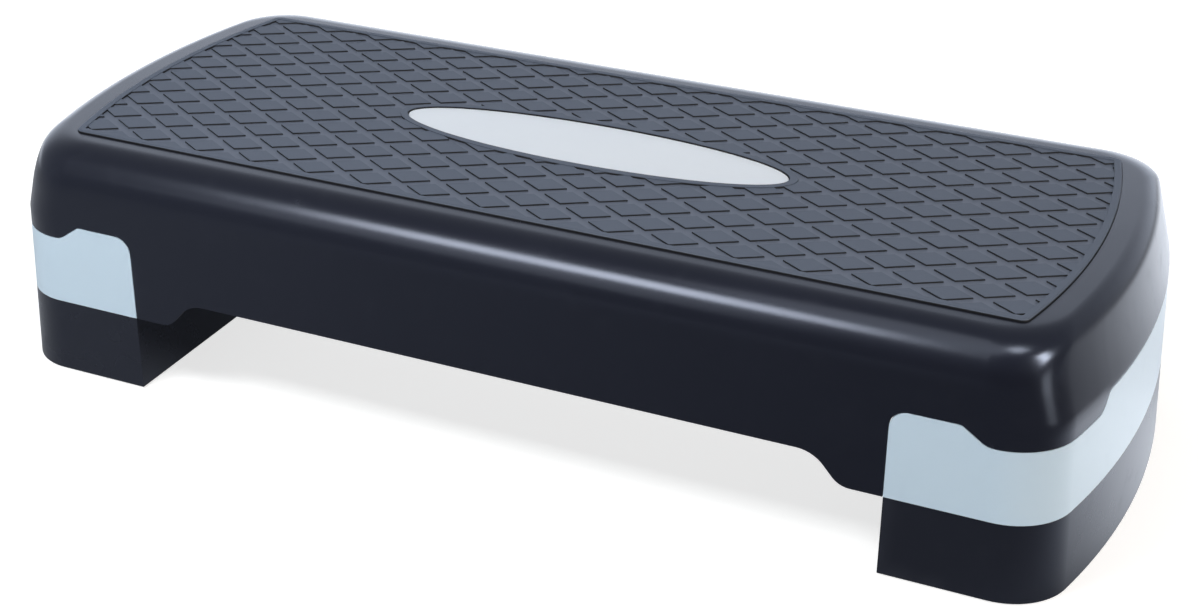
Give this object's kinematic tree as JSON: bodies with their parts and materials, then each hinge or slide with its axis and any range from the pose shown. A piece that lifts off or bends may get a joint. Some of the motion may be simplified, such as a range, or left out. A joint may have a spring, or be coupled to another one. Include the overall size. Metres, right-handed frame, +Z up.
{
  "type": "aerobic step platform",
  "caption": "Low exercise step: a long rounded black deck with a diamond-pad rubber tread and bare oval plate, on grey end collars and black risers that pull off to lower it.",
  "frame": {"origin": "on the floor, under the middle of the deck", "axes": "+X along the length towards the right end, +Y to the back, +Z up"},
  "size_m": [0.6838, 0.294, 0.1475],
  "materials": {
    "deck_plastic": "satin moulded black polypropylene",
    "riser_plastic": "satin moulded black polypropylene",
    "collar_plastic": "semi-gloss moulded pale blue-grey polypropylene",
    "tread_rubber": "matte moulded dark grey thermoplastic rubber",
    "plate_plastic": "satin moulded pale grey plastic",
    "foot_rubber": "matte black rubber",
    "screw_steel": "zinc-plated steel"
  },
  "bodies": {
    "deck": {"deck_shell": "deck_plastic", "tread_mat": "tread_rubber", "oval_plate": "plate_plastic", "left_collar": "collar_plastic", "left_collar_screws": "screw_steel", "left_collar_foot_front_inner": "foot_rubber", "left_collar_foot_front_outer": "foot_rubber", "left_collar_foot_back_inner": "foot_rubber", "left_collar_foot_back_outer": "foot_rubber", "right_collar": "collar_plastic", "right_collar_screws": "screw_steel", "right_collar_foot_front_inner": "foot_rubber", "right_collar_foot_front_outer": "foot_rubber", "right_collar_foot_back_inner": "foot_rubber", "right_collar_foot_back_outer": "foot_rubber"},
    "left_riser": {"left_riser": "riser_plastic", "left_riser_foot_front_inner": "foot_rubber", "left_riser_foot_front_outer": "foot_rubber", "left_riser_foot_back_inner": "foot_rubber", "left_riser_foot_back_outer": "foot_rubber"},
    "right_riser": {"right_riser": "riser_plastic", "right_riser_foot_front_inner": "foot_rubber", "right_riser_foot_front_outer": "foot_rubber", "right_riser_foot_back_inner": "foot_rubber", "right_riser_foot_back_outer": "foot_rubber"}
  },
  "joints": [
    {"name": "left_riser_pull", "type": "slide", "parent": "deck", "child": "left_riser", "axis": [0, 0, -1], "range_m": [0, 0.03]},
    {"name": "right_riser_pull", "type": "slide", "parent": "deck", "child": "right_riser", "axis": [0, 0, -1], "range_m": [0, 0.03]}
  ]
}
